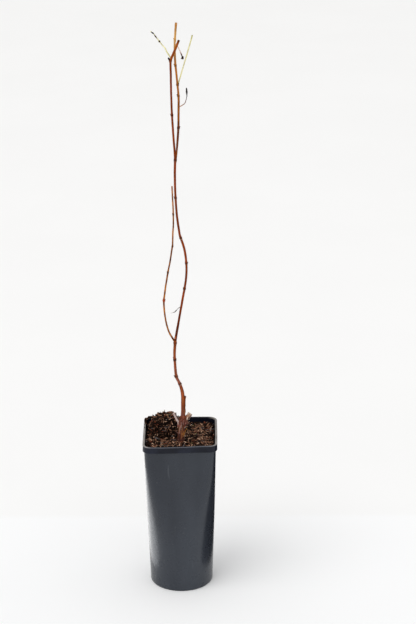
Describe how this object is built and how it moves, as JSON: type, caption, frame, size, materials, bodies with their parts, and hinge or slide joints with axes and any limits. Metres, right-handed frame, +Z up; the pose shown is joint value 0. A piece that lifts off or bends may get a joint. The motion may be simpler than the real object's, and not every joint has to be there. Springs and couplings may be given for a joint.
{
  "type": "potted grapevine",
  "caption": "Young leafless grapevine with a pruned woody foot, winding canes and dry tendrils, in a deep square-rimmed nursery pot.",
  "frame": {"origin": "middle of the pot's flat underside", "axes": "+Z up along the vine, +X to the right and +Y to the back as the vine is seen from its front"},
  "size_m": [0.104, 0.104, 0.8121],
  "materials": {
    "pot": "recycled black plastic, satin, faintly dusty",
    "soil": "moist peat and bark potting mix",
    "old_wood": "old bark, shaggy and purplish brown",
    "red_bark": "ripe cane, red-brown and finely ribbed",
    "tan_bark": "pale tan cane",
    "tendril": "dry yellow-green tendril"
  },
  "bodies": {
    "root": {"pot": "pot", "potting_soil": "soil", "trunk": "old_wood", "pruned_stub_left": "old_wood", "pruned_stub_right": "old_wood", "main_cane_base": "red_bark", "main_cane_lower": "red_bark", "main_cane_upper": "red_bark", "climbing_cane_lower": "red_bark", "climbing_cane_middle": "red_bark", "climbing_cane_upper": "red_bark", "bowed_cane_lower": "red_bark", "bowed_cane_middle": "red_bark", "bowed_cane_end": "red_bark", "left_leader": "red_bark", "left_leader_tip": "red_bark", "right_leader": "tan_bark", "right_leader_tip": "tan_bark", "left_tendril": "tendril", "right_tendril": "tendril", "side_twig": "old_wood"}
  },
  "joints": []
}
